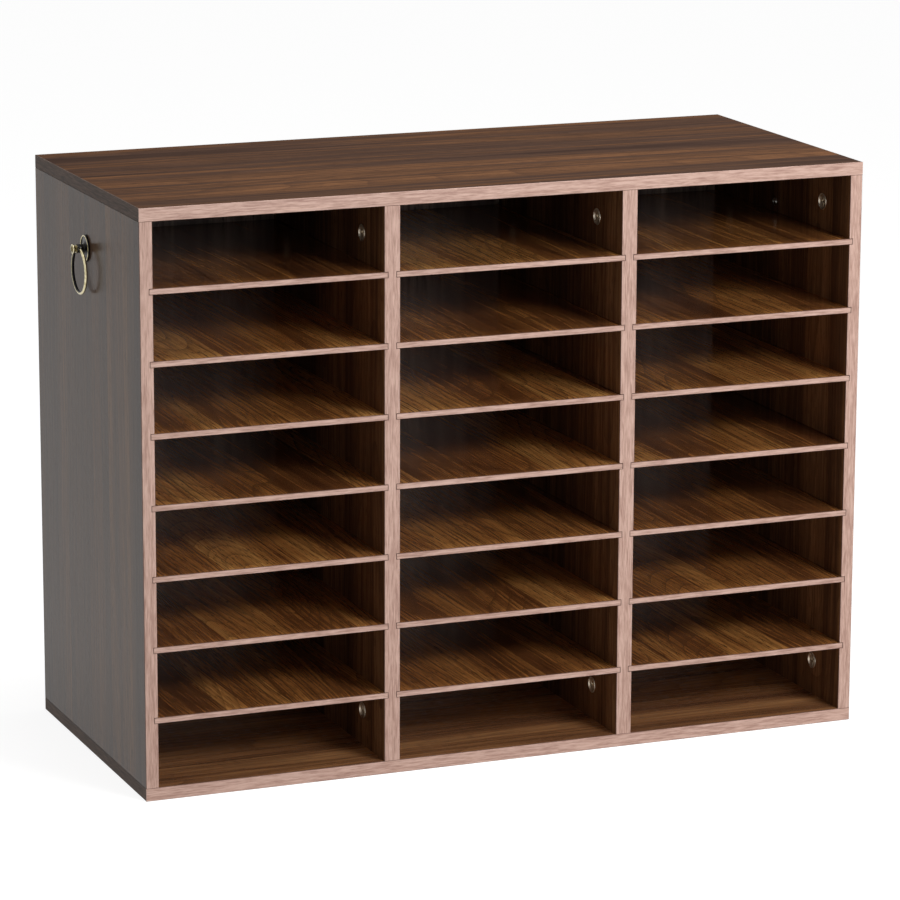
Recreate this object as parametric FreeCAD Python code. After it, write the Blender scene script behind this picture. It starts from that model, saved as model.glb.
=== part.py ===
import FreeCAD
import Part
import math
import os

# Pigeonhole mail sorter, in millimetres.
# Origin at the centre of the footprint, on the surface that it stands on.
# +X to the right, +Y to the back, +Z up. The slots open towards -Y.

# ---------------------------------------------------------------- overall case
case_width = 744.0
case_depth = 330.0
case_height = 569.0
outer_board = 12.8
divider_board = 16.0
column_names = ["left", "middle", "right"]
row_count = 8

# ---------------------------------------------------------------- edge bands
band = 1.0
band_bevel = 0.4

# ---------------------------------------------------------------- back board in its grooves
back_board = 3.0
back_inset = 19.0
back_groove_depth = 5.0
back_groove_play = 0.1
back_edge_gap = 0.5

# ---------------------------------------------------------------- shelves and their grooves
shelf_board = 5.7
groove_depth = 4.0
shelf_end_gap = 0.6
shelf_rest_gap = 0.1
shelf_head_gap = 0.3
shelf_back_gap = 0.5

# ---------------------------------------------------------------- cam locks
# A cam disc drops into a pocket in the upright and grips the head of a bolt that
# stands out of the top or bottom board.
cam_row_inset = 60.0
cam_end_distance = 35.0
cam_radius = 7.5
cam_pocket_floor = 2.4
cam_floor_gap = 0.2
cam_side_gap = 0.1
cam_rim_lip = 0.7
cam_rim_height = 0.6
cam_chamber_wall = 2.1
cam_chamber_offset = 0.5
cam_head_gap = 0.3
cam_recess_length = 9.0
cam_recess_width = 1.7
cam_recess_depth = 2.0
cam_window_angle = 120.0

bolt_head_radius = 3.2
bolt_head_length = 5.4
bolt_head_bevel = 0.8
bolt_tail = 2.0
bolt_neck_radius = 1.9
bolt_neck_length = 5.5
bolt_shank_radius = 3.4
bolt_thread_radius = 2.9
bolt_hole_gap = 0.4
bolt_thread_gap = 0.05
bolt_tip_gap = 0.4
blind_hole_floor = 2.6

# ---------------------------------------------------------------- dowels between the cam locks
dowel_radius = 3.0
dowel_in_upright = 20.0
dowel_side_gap = 0.05
dowel_end_gap = 0.8

# ---------------------------------------------------------------- ring pulls
pull_drop = 65.0
rose_radius = 13.0
rose_edge = 1.2
rose_bead = 1.0
rose_bead_width = 1.6
rose_dish = 1.3
rose_hub_radius = 5.6
rose_thickness = 2.2
post_spigot_radius = 4.0
post_spigot_gap = 0.2
post_flange_radius = 5.0
post_flange = 0.8
post_barrel_radius = 4.2
post_barrel = 7.6
post_neck_radius = 2.8
post_neck = 0.6
post_button_radius = 4.6
post_button_cone = 1.6
post_button_edge = 1.0
post_shoulder = 1.1
post_shoulder_radius = 3.2
post_tip = 0.7
post_tip_radius = 0.9
eye_centre = 7.0
eye_gap = 0.3
ring_radius = 21.5
ring_wire_radius = 1.5
screw_radius = 2.0
screw_thread_gap = 0.05
screw_in_post = 4.0
screw_tip_gap = 0.25
screw_hole_gap = 0.3
screw_head_radius = 4.0
screw_head_height = 2.4
screw_head_bevel = 0.9
screw_recess_length = 4.4
screw_recess_width = 0.9
screw_recess_depth = 1.4

# ---------------------------------------------------------------- flats of the small parts
# Most small round parts and their holes are drawn with this many flats each. The eye
# that the ring swings in is truly round.
cam_flat_count = 12
chamber_flat_count = 8
bolt_flat_count = 8
post_flat_count = 18
screw_flat_count = 12
ring_flat_count = 36
wire_flat_count = 8

# ---------------------------------------------------------------- sizes worked out from the above
front_y = -case_depth / 2
rear_y = case_depth / 2
back_face_y = rear_y - back_inset - back_board
column_count = len(column_names)
column_width = (case_width - 2 * outer_board - (column_count - 1) * divider_board) / column_count
inner_height = case_height - 2 * outer_board
row_pitch = (inner_height + shelf_board) / row_count
shelf_levels = range(1, row_count)
shelf_length = column_width + 2 * (groove_depth - shelf_end_gap)
shelf_rear_y = back_face_y - shelf_back_gap
bolt_depth = outer_board / 2
bolt_hole_radius = bolt_shank_radius + bolt_hole_gap
bolt_thread_length = outer_board - blind_hole_floor - bolt_tip_gap
cam_length = outer_board - cam_pocket_floor - cam_floor_gap
cam_chamber_radius = cam_radius - cam_chamber_wall
dowel_in_board = outer_board - blind_hole_floor - dowel_end_gap
eye_sag = ring_radius - math.sqrt(ring_radius**2 - post_barrel_radius**2)
eye_radius = ring_wire_radius + eye_sag + eye_gap
pull_height = case_height - pull_drop
OVER = 1.0  # how far a cutting tool runs past the face that it cuts

ORIGIN = FreeCAD.Vector(0, 0, 0)
X_AXIS = FreeCAD.Vector(1, 0, 0)
Y_AXIS = FreeCAD.Vector(0, 1, 0)
Z_AXIS = FreeCAD.Vector(0, 0, 1)


# ---------------------------------------------------------------- helpers
def block(x0, x1, y0, y1, z0, z1):
    """A box between two corners."""
    corner = FreeCAD.Vector(min(x0, x1), min(y0, y1), min(z0, z1))
    return Part.makeBox(abs(x1 - x0), abs(y1 - y0), abs(z1 - z0), corner)


def polygon_face(points):
    """A flat face through points."""
    return Part.Face(Part.makePolygon(points + points[:1]))


def turned(points):
    """A solid turned about the local X axis from a closed (along, radius) outline."""
    face = polygon_face([FreeCAD.Vector(along, radius, 0) for along, radius in points])
    return face.revolve(ORIGIN, X_AXIS, 360)


def loop_about_x(along, radius, flats):
    """Corners of a regular polygon about the local X axis."""
    corners = []
    for i in range(flats):
        angle = 2 * math.pi * (i + 0.5) / flats
        corners.append(FreeCAD.Vector(along, radius * math.cos(angle), radius * math.sin(angle)))
    return corners


def skin(loops):
    """Flat faces between each loop of corners and the next."""
    faces = []
    for low, high in zip(loops, loops[1:]):
        for i, corner in enumerate(low):
            j = (i + 1) % len(low)
            faces.append(polygon_face([corner, low[j], high[j], high[i]]))
    return faces


def flat_turned(points, flats):
    """A solid bar about the local X axis through (along, radius) points, with flats."""
    loops = [loop_about_x(along, radius, flats) for along, radius in points]
    faces = skin(loops) + [polygon_face(loops[0]), polygon_face(loops[-1])]
    return Part.Solid(Part.Shell(faces))


def upright_disc(radius, z0, z1, flats, x=0.0):
    """A disc with flats about a vertical axis through x."""
    bar = flat_turned([(z0, radius), (z1, radius)], flats)
    bar.rotate(ORIGIN, Y_AXIS, -90)
    bar.translate(X_AXIS * x)
    return bar


def cross_recess(length, width, depth):
    """A plus-shaped recess that opens at local z = 0 and goes down by depth."""
    bar = block(-length / 2, length / 2, -width / 2, width / 2, -depth, OVER)
    across = bar.copy()
    across.rotate(ORIGIN, Z_AXIS, 90)
    return bar.fuse(across)


def placed(shape, origin, x_dir, z_dir):
    """A copy with its local X and Z axes turned to the given directions."""
    result = shape.copy()
    turn = FreeCAD.Rotation(x_dir, z_dir.cross(x_dir), z_dir, "ZXY")
    result.Placement = FreeCAD.Placement(origin, turn).multiply(shape.Placement)
    return result


def bevelled_strip(x0, x1, y0, y1, z0, z1, along, outward):
    """An edge band: a strip with its two long arrises on the outer face bevelled."""
    strip = block(x0, x1, y0, y1, z0, z1)
    outer = max(vertex.Point.dot(outward) for vertex in strip.Vertexes)
    arrises = []
    for edge in strip.Edges:
        runs_along = abs(edge.tangentAt(edge.FirstParameter).dot(along)) > 0.99
        if runs_along and outer - edge.CenterOfMass.dot(outward) < band / 2:
            arrises.append(edge)
    return strip.makeChamfer(band_bevel, arrises)


# ---------------------------------------------------------------- layout
def uprights():
    """Each upright: its name, left and right faces, sides with grooves, side with the cams."""
    half = case_width / 2
    boards = [("left_side_panel", -half, -half + outer_board, [1], 1)]
    x = -half + outer_board
    for name in ("left_divider", "right_divider"):
        x += column_width
        boards.append((name, x, x + divider_board, [-1, 1], -1))
        x += divider_board
    boards.append(("right_side_panel", half - outer_board, half, [-1], -1))
    return boards


def is_side(name):
    """Whether an upright is one of the two outer sides."""
    return name.endswith("side_panel")


def column_left(column):
    """Left wall of a column, counted from 0."""
    return -case_width / 2 + outer_board + column * (column_width + divider_board)


def shelf_bottom(level):
    """Underside of the shelf at a level, counted from 1 at the bottom."""
    return outer_board + level * row_pitch - shelf_board


def joint_height(up):
    """Height of the joint between the uprights and the top (up = 1) or bottom (up = -1) board."""
    return case_height - outer_board if up > 0 else outer_board


def cam_frames():
    """Upright, origin, bolt direction and direction out of the pocket, for every cam lock."""
    frames = []
    for name, left, right, _, mouth in uprights():
        face_x = right if mouth > 0 else left
        for y in (front_y + cam_row_inset, rear_y - cam_row_inset):
            for up in (-1, 1):
                z = joint_height(up) - up * cam_end_distance
                frames.append((name, FreeCAD.Vector(face_x, y, z), Z_AXIS * up, X_AXIS * mouth))
    return frames


def dowel_frames():
    """Upright, middle of the joint and direction into the outer board, for every dowel."""
    frames = []
    for name, left, right, _, mouth in uprights():
        x = right - bolt_depth if mouth > 0 else left + bolt_depth
        for up in (-1, 1):
            frames.append((name, FreeCAD.Vector(x, 0, joint_height(up)), Z_AXIS * up))
    return frames


# ---------------------------------------------------------------- cam locks and dowels
# Local frame of a cam lock: Z out of the pocket with 0 at the board's face, bolt along +X.
def cam_disc():
    """Cam disc: a rimmed cup, open below, with a slot for the bolt's neck and a head window."""
    below = -cam_length - OVER
    head_high = -bolt_depth + bolt_head_radius + cam_head_gap
    neck_half = bolt_neck_radius + cam_head_gap
    head_half = bolt_head_radius + cam_head_gap
    body = upright_disc(cam_radius, -cam_length, 0, cam_flat_count)
    rim = upright_disc(cam_radius + cam_rim_lip, 0, cam_rim_height, cam_flat_count)
    chamber = upright_disc(cam_chamber_radius, below, head_high, chamber_flat_count, -cam_chamber_offset)
    reach = cam_radius + OVER
    slot = block(0, reach, -neck_half, neck_half, below, -bolt_depth + neck_half)
    window = block(0, reach, -head_half, head_half, below, head_high)
    window.rotate(ORIGIN, Z_AXIS, cam_window_angle)
    recess = cross_recess(cam_recess_length, cam_recess_width, cam_recess_depth)
    recess.translate(Z_AXIS * cam_rim_height)
    return body.fuse(rim).cut([chamber, slot, window, recess])


def cam_bolt():
    """Cam bolt: bevelled head, neck, shank up to the joint and thread in the outer board."""
    tail = -bolt_tail
    head_end = tail + bolt_head_length
    neck_end = head_end + bolt_neck_length
    bolt = flat_turned(
        [
            (tail, bolt_head_radius),
            (head_end - bolt_head_bevel, bolt_head_radius),
            (head_end, bolt_neck_radius),
            (neck_end, bolt_neck_radius),
            (neck_end + bolt_shank_radius - bolt_neck_radius, bolt_shank_radius),
            (cam_end_distance, bolt_shank_radius),
            (cam_end_distance, bolt_thread_radius),
            (cam_end_distance + bolt_thread_length, bolt_thread_radius),
        ],
        bolt_flat_count,
    )
    bolt.translate(Z_AXIS * -bolt_depth)
    return bolt


def cam_lock_cuts():
    """Pocket and bolt hole that one cam lock needs in its upright."""
    depth = outer_board - cam_pocket_floor
    pocket = upright_disc(cam_radius + cam_side_gap, -depth, OVER, cam_flat_count)
    hole = flat_turned(
        [(cam_radius / 2, bolt_hole_radius), (cam_end_distance + OVER, bolt_hole_radius)],
        bolt_flat_count,
    )
    hole.translate(Z_AXIS * -bolt_depth)
    return pocket.fuse(hole)


def bolt_board_hole():
    """Blind hole for the bolt's thread in the outer board, in the cam lock's frame."""
    radius = bolt_thread_radius + bolt_thread_gap
    floor = cam_end_distance + outer_board - blind_hole_floor
    hole = flat_turned([(cam_end_distance - OVER, radius), (floor, radius)], bolt_flat_count)
    hole.translate(Z_AXIS * -bolt_depth)
    return hole


def dowel():
    """Wooden dowel with local X = 0 at the joint and +X into the outer board."""
    return flat_turned([(-dowel_in_upright, dowel_radius), (dowel_in_board, dowel_radius)], bolt_flat_count)


def dowel_hole():
    """The hole for both ends of a dowel."""
    radius = dowel_radius + dowel_side_gap
    start = -dowel_in_upright - dowel_end_gap
    end = dowel_in_board + dowel_end_gap
    return flat_turned([(start, radius), (end, radius)], bolt_flat_count)


# ---------------------------------------------------------------- boards
def groove_cuts(left, right, sides, rear):
    """The shelf grooves of one upright, open at the front and at the rear edge."""
    cuts = []
    for side in sides:
        face = right if side > 0 else left
        for level in shelf_levels:
            low = shelf_bottom(level) - shelf_rest_gap
            high = shelf_bottom(level) + shelf_board + shelf_head_gap
            floor = face - side * groove_depth
            cuts.append(block(floor, face + side * OVER, front_y - OVER, rear + OVER, low, high))
    return cuts


def back_groove(x0, x1, z0, z1):
    """Tool for a groove that holds the back board."""
    y0 = back_face_y - back_groove_play
    y1 = back_face_y + back_board + back_groove_play
    return block(x0, x1, y0, y1, z0, z1)


def upright_panel(name, left, right, sides):
    """A side or divider with its grooves, pockets and holes."""
    rear = rear_y if is_side(name) else back_face_y
    panel = block(left, right, front_y + band, rear, outer_board, case_height - outer_board)
    cuts = groove_cuts(left, right, sides, rear)
    lock = cam_lock_cuts()
    hole = dowel_hole()
    cuts += [placed(lock, o, along, out) for n, o, along, out in cam_frames() if n == name]
    cuts += [placed(hole, o, into, X_AXIS) for n, o, into in dowel_frames() if n == name]
    if is_side(name):
        inner = right if sides[0] > 0 else left
        floor = inner - sides[0] * back_groove_depth
        cuts.append(back_groove(floor, inner + sides[0] * OVER, 0, case_height))
        cuts.append(screw_hole(-sides[0]))
    return panel.cut(cuts)


def flat_panel(up):
    """The top board (up = 1) or the bottom board (up = -1)."""
    outer_z = case_height if up > 0 else 0
    inner_z = joint_height(up)
    half = case_width / 2 - band
    panel = block(-half, half, front_y + band, rear_y, inner_z, outer_z)
    bolt_hole = bolt_board_hole()
    pin_hole = dowel_hole()
    cuts = [placed(bolt_hole, o, along, out) for _, o, along, out in cam_frames() if along.z == up]
    cuts += [placed(pin_hole, o, into, X_AXIS) for _, o, into in dowel_frames() if into.z == up]
    groove_half = case_width / 2 - outer_board + back_groove_depth
    floor_z = inner_z + up * back_groove_depth
    cuts.append(back_groove(-groove_half, groove_half, inner_z - up * OVER, floor_z))
    return panel.cut(cuts)


def back_panel():
    """The back board, with a small gap to the floor of its grooves."""
    reach = back_groove_depth - back_edge_gap
    half = case_width / 2 - outer_board + reach
    low = outer_board - reach
    high = case_height - outer_board + reach
    return block(-half, half, back_face_y, back_face_y + back_board, low, high)


# ---------------------------------------------------------------- edge bands
def front_strip(x0, x1, z0, z1, along):
    """A band on a front edge."""
    return bevelled_strip(x0, x1, front_y, front_y + band, z0, z1, along, Y_AXIS * -1)


def long_edge_bands():
    """Front bands of the top and bottom boards, over the full width."""
    half = case_width / 2
    bottoms = (0, case_height - outer_board)
    return Part.makeCompound([front_strip(-half, half, z, z + outer_board, X_AXIS) for z in bottoms])


def end_edge_bands():
    """Bands on the left and right edges of the top and bottom boards, behind the front bands."""
    strips = []
    for side in (-1, 1):
        outer = side * case_width / 2
        inner = outer - side * band
        for z in (0, case_height - outer_board):
            ends = (front_y + band, rear_y, z, z + outer_board)
            strips.append(bevelled_strip(outer, inner, *ends, Y_AXIS, X_AXIS * side))
    return Part.makeCompound(strips)


def upright_edge_bands():
    """Front bands of the sides and dividers, notched where the shelf grooves run out."""
    strips = []
    for _, left, right, sides, _ in uprights():
        strip = front_strip(left, right, outer_board, case_height - outer_board, Z_AXIS)
        strips.append(strip.cut(groove_cuts(left, right, sides, front_y + band)))
    return Part.makeCompound(strips)


# ---------------------------------------------------------------- shelves
def shelf_extent(column, level):
    """Left, right, low and high limits of a shelf, inside its two grooves."""
    left = column_left(column) - groove_depth + shelf_end_gap
    low = shelf_bottom(level)
    return left, left + shelf_length, low, low + shelf_board


def shelf(column, level):
    """One shelf board, behind its front band."""
    left, right, low, high = shelf_extent(column, level)
    return block(left, right, front_y + band, shelf_rear_y, low, high)


def shelf_band(column, level):
    """The band on a shelf's front edge."""
    return front_strip(*shelf_extent(column, level), X_AXIS)


# ---------------------------------------------------------------- ring pulls
# Local frame of a pull: X out of the side, Y along the eye, origin on the side's outer face.
def pull_rose():
    """Dished backplate with a raised bead round its edge and a flat hub under the post."""
    bore = post_spigot_radius + post_spigot_gap
    bead_top = rose_edge + rose_bead
    bead_inner = rose_radius - rose_bead_width
    return turned(
        [
            (0, bore),
            (0, rose_radius),
            (rose_edge, rose_radius),
            (bead_top, rose_radius - rose_bead_width / 2),
            (rose_dish, bead_inner),
            (rose_thickness, rose_hub_radius),
            (rose_thickness, bore),
        ]
    )


def pull_post():
    """Turned post with a button end, tapped from behind and drilled across for the ring."""
    flange_end = rose_thickness + post_flange
    barrel_end = flange_end + post_barrel
    neck_end = barrel_end + post_neck
    cone_end = neck_end + post_button_cone
    edge_end = cone_end + post_button_edge
    post = flat_turned(
        [
            (0, post_spigot_radius),
            (rose_thickness, post_spigot_radius),
            (rose_thickness, post_flange_radius),
            (flange_end, post_flange_radius),
            (flange_end, post_barrel_radius),
            (barrel_end, post_barrel_radius),
            (barrel_end, post_neck_radius),
            (neck_end, post_neck_radius),
            (cone_end, post_button_radius),
            (edge_end, post_button_radius),
            (edge_end + post_shoulder, post_shoulder_radius),
            (edge_end + post_shoulder + post_tip, post_tip_radius),
        ],
        post_flat_count,
    )
    reach = post_button_radius + OVER
    eye_start = X_AXIS * eye_centre - Y_AXIS * reach
    eye = Part.makeCylinder(eye_radius, 2 * reach, eye_start, Y_AXIS)
    tapped_end = screw_in_post + screw_tip_gap
    tapped_radius = screw_radius + screw_thread_gap
    tapped = flat_turned([(-OVER, tapped_radius), (tapped_end, tapped_radius)], screw_flat_count)
    return post.cut([eye, tapped])


def screw_hole(side):
    """Tool for the hole that takes a pull's screw through the left or right side."""
    radius = screw_radius + screw_hole_gap
    hole = flat_turned([(-outer_board - OVER, radius), (OVER, radius)], screw_flat_count)
    return on_side(hole, side)


def pull_screw():
    """Pan-head machine screw from inside the case into the post."""
    head_face = -outer_board
    head_top = head_face - screw_head_height
    screw = flat_turned(
        [
            (head_top, screw_head_radius - screw_head_bevel),
            (head_top + screw_head_bevel, screw_head_radius),
            (head_face, screw_head_radius),
            (head_face, screw_radius),
            (screw_in_post, screw_radius),
        ],
        screw_flat_count,
    )
    recess = cross_recess(screw_recess_length, screw_recess_width, screw_recess_depth)
    return screw.cut(placed(recess, X_AXIS * head_top, Y_AXIS, X_AXIS * -1))


def pull_ring():
    """The ring, hanging straight down from the middle of the eye."""
    loops = []
    for i in range(ring_flat_count):
        around = 2 * math.pi * i / ring_flat_count
        outward = FreeCAD.Vector(0, math.sin(around), math.cos(around))
        loop = []
        for j in range(wire_flat_count):
            angle = 2 * math.pi * (j + 0.5) / wire_flat_count
            reach = ring_radius + ring_wire_radius * math.cos(angle)
            loop.append(outward * reach + X_AXIS * (ring_wire_radius * math.sin(angle)))
        loops.append(loop)
    ring = Part.Solid(Part.Shell(skin(loops + loops[:1])))
    ring.translate(X_AXIS * eye_centre - Z_AXIS * ring_radius)
    return ring


def on_side(shape, side):
    """A pull's piece moved to the left (side = -1) or right (side = 1) of the case."""
    origin = FreeCAD.Vector(side * case_width / 2, 0, pull_height)
    return placed(shape, origin, X_AXIS * side, Z_AXIS)


# ---------------------------------------------------------------- every node
def case_nodes():
    """The boards and bands of the fixed case."""
    nodes = {"top_panel": flat_panel(1), "bottom_panel": flat_panel(-1)}
    for name, left, right, sides, _ in uprights():
        nodes[name] = upright_panel(name, left, right, sides)
    nodes["back_panel"] = back_panel()
    nodes["long_edge_bands"] = long_edge_bands()
    nodes["end_edge_bands"] = end_edge_bands()
    nodes["upright_edge_bands"] = upright_edge_bands()
    return nodes


def fastener_nodes():
    """Cam discs, cam bolts and dowels, each kind as one group of separate solids."""
    disc = cam_disc()
    bolt = cam_bolt()
    pin = dowel()
    discs = [placed(disc, o, along, out) for _, o, along, out in cam_frames()]
    bolts = [placed(bolt, o, along, out) for _, o, along, out in cam_frames()]
    pins = [placed(pin, o, into, X_AXIS) for _, o, into in dowel_frames()]
    groups = {"cam_discs": discs, "cam_bolts": bolts, "wood_dowels": pins}
    return {name: Part.makeCompound(solids) for name, solids in groups.items()}


def pull_nodes():
    """The fixed pieces of both ring pulls in pairs, and each ring by itself."""
    pieces = {"pull_roses": pull_rose(), "pull_posts": pull_post(), "pull_screws": pull_screw()}
    nodes = {}
    for name, piece in pieces.items():
        nodes[name] = Part.makeCompound([on_side(piece, side) for side in (-1, 1)])
    nodes["left_ring"] = on_side(pull_ring(), -1)
    nodes["right_ring"] = on_side(pull_ring(), 1)
    return nodes


def shelf_nodes():
    """Every shelf and its front band, numbered from the bottom of each column."""
    nodes = {}
    for column, column_name in enumerate(column_names):
        for level in shelf_levels:
            name = f"{column_name}_shelf_{level}"
            nodes[name] = shelf(column, level)
            nodes[name + "_band"] = shelf_band(column, level)
    return nodes


os.makedirs("parts", exist_ok=True)
for make in (case_nodes, fastener_nodes, pull_nodes, shelf_nodes):
    for node_name, node_shape in make().items():
        node_shape.exportStep(f"parts/{node_name}.step")
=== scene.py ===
# %% [markdown]
# A pigeonhole mail sorter: a walnut-foiled case with three columns of eight
# slots, thin shelves that slide in grooves, cam locks inside the corners and a
# ring pull on each end. The boards come from the CAD frame and keep their true
# shapes, so here they only need their foil. The turned and cast fittings are
# made again, because the frame draws their round forms with flats.

import math

import bpy
from mathutils import Matrix, Vector


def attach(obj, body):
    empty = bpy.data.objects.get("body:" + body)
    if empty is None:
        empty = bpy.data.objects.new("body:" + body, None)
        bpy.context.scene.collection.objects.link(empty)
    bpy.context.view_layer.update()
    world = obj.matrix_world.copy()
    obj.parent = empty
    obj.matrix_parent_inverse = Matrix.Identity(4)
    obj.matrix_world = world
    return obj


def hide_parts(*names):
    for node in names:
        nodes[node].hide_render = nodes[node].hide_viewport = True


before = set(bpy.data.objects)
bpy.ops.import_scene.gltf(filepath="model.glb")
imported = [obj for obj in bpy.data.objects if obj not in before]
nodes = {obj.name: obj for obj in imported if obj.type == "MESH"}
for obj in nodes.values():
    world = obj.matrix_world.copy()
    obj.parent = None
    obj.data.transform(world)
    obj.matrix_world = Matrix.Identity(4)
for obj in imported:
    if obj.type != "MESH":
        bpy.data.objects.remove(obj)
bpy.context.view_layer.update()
bpy.context.scene.view_settings.view_transform = "Standard"

# %% [markdown]
# A long lens from far off keeps the uprights nearly parallel, which is how
# furniture is usually shown. The camera stands to the left and above, so that
# the top, the front and the left end all show. A turn about its own line of
# sight, a fifth of a degree, levels the front edge.

# %% Camera
eye = Vector((-1.5669, -3.8813, 1.2515))
line_of_sight = Vector((0.36524, 0.90275, -0.22725))
levelling_turn = math.radians(0.193)
camera = bpy.data.objects.new("Camera", bpy.data.cameras.new("Camera"))
bpy.context.scene.collection.objects.link(camera)
camera.data.lens = 172.26
camera.data.sensor_width = 36.0
camera.data.clip_end = 60.0
aim = line_of_sight.to_track_quat("-Z", "Y").to_matrix().to_4x4()
camera.matrix_world = Matrix.Translation(eye) @ aim @ Matrix.Rotation(levelling_turn, 4, "Z")
bpy.context.scene.camera = camera
print("camera at", tuple(round(v, 3) for v in eye), "with a lens of", camera.data.lens, "mm")

# %% [markdown]
# Colours are typed as a paint chart gives them, from 0 to 255, and turned into
# the even steps of light that the renderer reckons in. Nearly every finish
# below is a small tree of shader nodes, so adding a node, doing a sum and
# spreading a value over a range of colours each get a short helper.

# %% Helpers for finishes
MM = 0.001


def tint(red, green, blue):
    """A chart colour in linear light, with full cover."""
    steps = [value / 255 for value in (red, green, blue)]
    return (*(v / 12.92 if v <= 0.04045 else ((v + 0.055) / 1.055) ** 2.4 for v in steps), 1.0)


def grey(level):
    """A grey that is given in linear light already, with full cover."""
    return (level, level, level, 1.0)


def start_finish(name, **plain):
    """A material with its shader. Numbers that are the same all over go on the shader itself."""
    material = bpy.data.materials.new(name)
    material.use_nodes = True
    tree = material.node_tree
    tree.nodes.clear()
    shader = tree.nodes.new("ShaderNodeBsdfPrincipled")
    out = tree.nodes.new("ShaderNodeOutputMaterial")
    tree.links.new(shader.outputs["BSDF"], out.inputs["Surface"])
    for socket, value in plain.items():
        shader.inputs[socket.replace("_", " ")].default_value = value
    return material, tree, shader


def feed(tree, shader, **outputs):
    """Leads what the nodes worked out to the shader's sockets."""
    for socket, output in outputs.items():
        tree.links.new(output, shader.inputs[socket.replace("_", " ")])


def add(tree, kind, feeds, give=0, **settings):
    """A node with its settings, fed by numbers or by other nodes. It gives back one output."""
    node = tree.nodes.new("ShaderNode" + kind)
    for name, value in settings.items():
        setattr(node, name, value)
    for socket, value in feeds.items():
        if isinstance(value, bpy.types.NodeSocket):
            tree.links.new(value, node.inputs[socket])
        else:
            node.inputs[socket].default_value = value
    return node.outputs[give]


def calc(tree, operation, first, second=0.0, third=0.0):
    """One step of arithmetic, done afresh at every point of the surface."""
    return add(tree, "Math", {0: first, 1: second, 2: third}, operation=operation)


def slope(tree, value, start, end, low=0.0, high=1.0):
    """Goes evenly from low to high while the value goes from start to end, and stays level outside."""
    return add(tree, "MapRange", {0: value, 1: start, 2: end, 3: low, 4: high})


def stain(tree, amount, under, over, blend="MIX"):
    """Lays one colour over another by an amount from 0 to 1. A mix node has its colours at 6 and 7."""
    feeds = {0: amount, 6: under, 7: over}
    return add(tree, "Mix", feeds, give=2, data_type="RGBA", blend_type=blend)


def spread(tree, value, stops):
    """Turns a value into a colour: each stop is a place from 0 to 1 and its colour."""
    node = tree.nodes.new("ShaderNodeValToRGB")
    stretch = node.color_ramp.elements
    while len(stretch) < len(stops):
        stretch.new(1.0)
    for element, (place, colour) in zip(stretch, stops):
        element.position = place
        element.color = colour
    tree.links.new(value, node.inputs[0])
    return node.outputs[0]


def coordinates(tree, kind="Object"):
    """Where a point is in the piece's own space or, with Normal, which way its surface looks."""
    return add(tree, "TexCoord", {}, give=kind)


def split(tree, vector):
    """The three parts of a place or a direction, as outputs X, Y and Z."""
    node = tree.nodes.new("ShaderNodeSeparateXYZ")
    tree.links.new(vector, node.inputs[0])
    return node.outputs


def cloud(tree, place, per_metre, detail=2.0, rough=0.5):
    """Soft noise from 0 to 1, with this many cells per metre along, across and through."""
    scaled = add(tree, "Mapping", {"Vector": place, "Scale": per_metre})
    feeds = {"Vector": scaled, "Scale": 1.0, "Detail": detail, "Roughness": rough}
    return add(tree, "TexNoise", feeds)


def along_grain(tree, grain, start=(0.0, 0.0, 0.0)):
    """The piece's own coordinates, turned so that the first one runs along the grain."""
    turns = {"X": (0, 0, 0), "Y": (0, 0, -math.pi / 2), "Z": (0, math.pi / 2, 0)}
    feeds = {"Vector": coordinates(tree), "Rotation": turns[grain], "Location": start}
    return add(tree, "Mapping", feeds)


def relief(tree, shader, height, depth, strength):
    """Makes the surface look as if it rose and fell with this height, up to this depth in metres."""
    feeds = {"Height": height, "Distance": depth, "Strength": strength}
    feed(tree, shader, Normal=add(tree, "Bump", feeds))


print("helpers ready; mid grey 128 is", round(tint(128, 128, 128)[0], 3), "in linear light")

# %% [markdown]
# The boards are particle board with a printed walnut foil on both faces. Real
# walnut has four things at once: broad stripes of warm and greyish wood, the
# growth rings that a flat cut draws as long nested arches, fine fibres, and
# short dark pores. Growth rings are the contour lines of a hill, so a smooth
# stretched noise is multiplied and cut off at each whole number, which draws
# arches that never repeat. Noise with no contour lines would only look smoked.
# The print shows narrow planks side by side, each from another tree. Shelves
# lie one step above each other, so counting the steps gives every shelf a
# sheet of its own, and no two look alike.

# %% Walnut figure
strip_width = 66.0 * MM
sheet_step = 68.6375 * MM
joint_share = 0.012
farthest_start = 9.0
drift_reach = 50.0 * MM
waver_reach = 4.0 * MM
ring_sharpness = 4.0
vein_edge, vein_core = 0.48, 0.37
pore_level = 0.68
ring_ink, vein_ink, joint_ink, pore_ink = 0.5, 0.7, 0.6, 0.8
fibre_greys = [(0.3, grey(0.74)), (0.7, grey(1.2))]


def strips(tree, place, contrast):
    """The print is laid out in strips. Each strip starts its figure somewhere else, with its own tone."""
    parts = split(tree, place)
    across = calc(tree, "DIVIDE", parts["Y"], strip_width)
    sheet = calc(tree, "FLOOR", calc(tree, "DIVIDE", parts["Z"], sheet_step))
    count = add(tree, "CombineXYZ", {"X": calc(tree, "FLOOR", across), "Y": sheet})
    luck = add(tree, "TexWhiteNoise", {"Vector": count})
    shift = calc(tree, "MULTIPLY_ADD", luck, contrast, -0.5 * contrast)
    away = add(tree, "CombineXYZ", {"X": calc(tree, "MULTIPLY", luck, farthest_start)})
    joint = calc(tree, "LESS_THAN", calc(tree, "FRACT", across), joint_share)
    return add(tree, "VectorMath", {0: place, 1: away}, operation="ADD"), shift, joint


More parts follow.
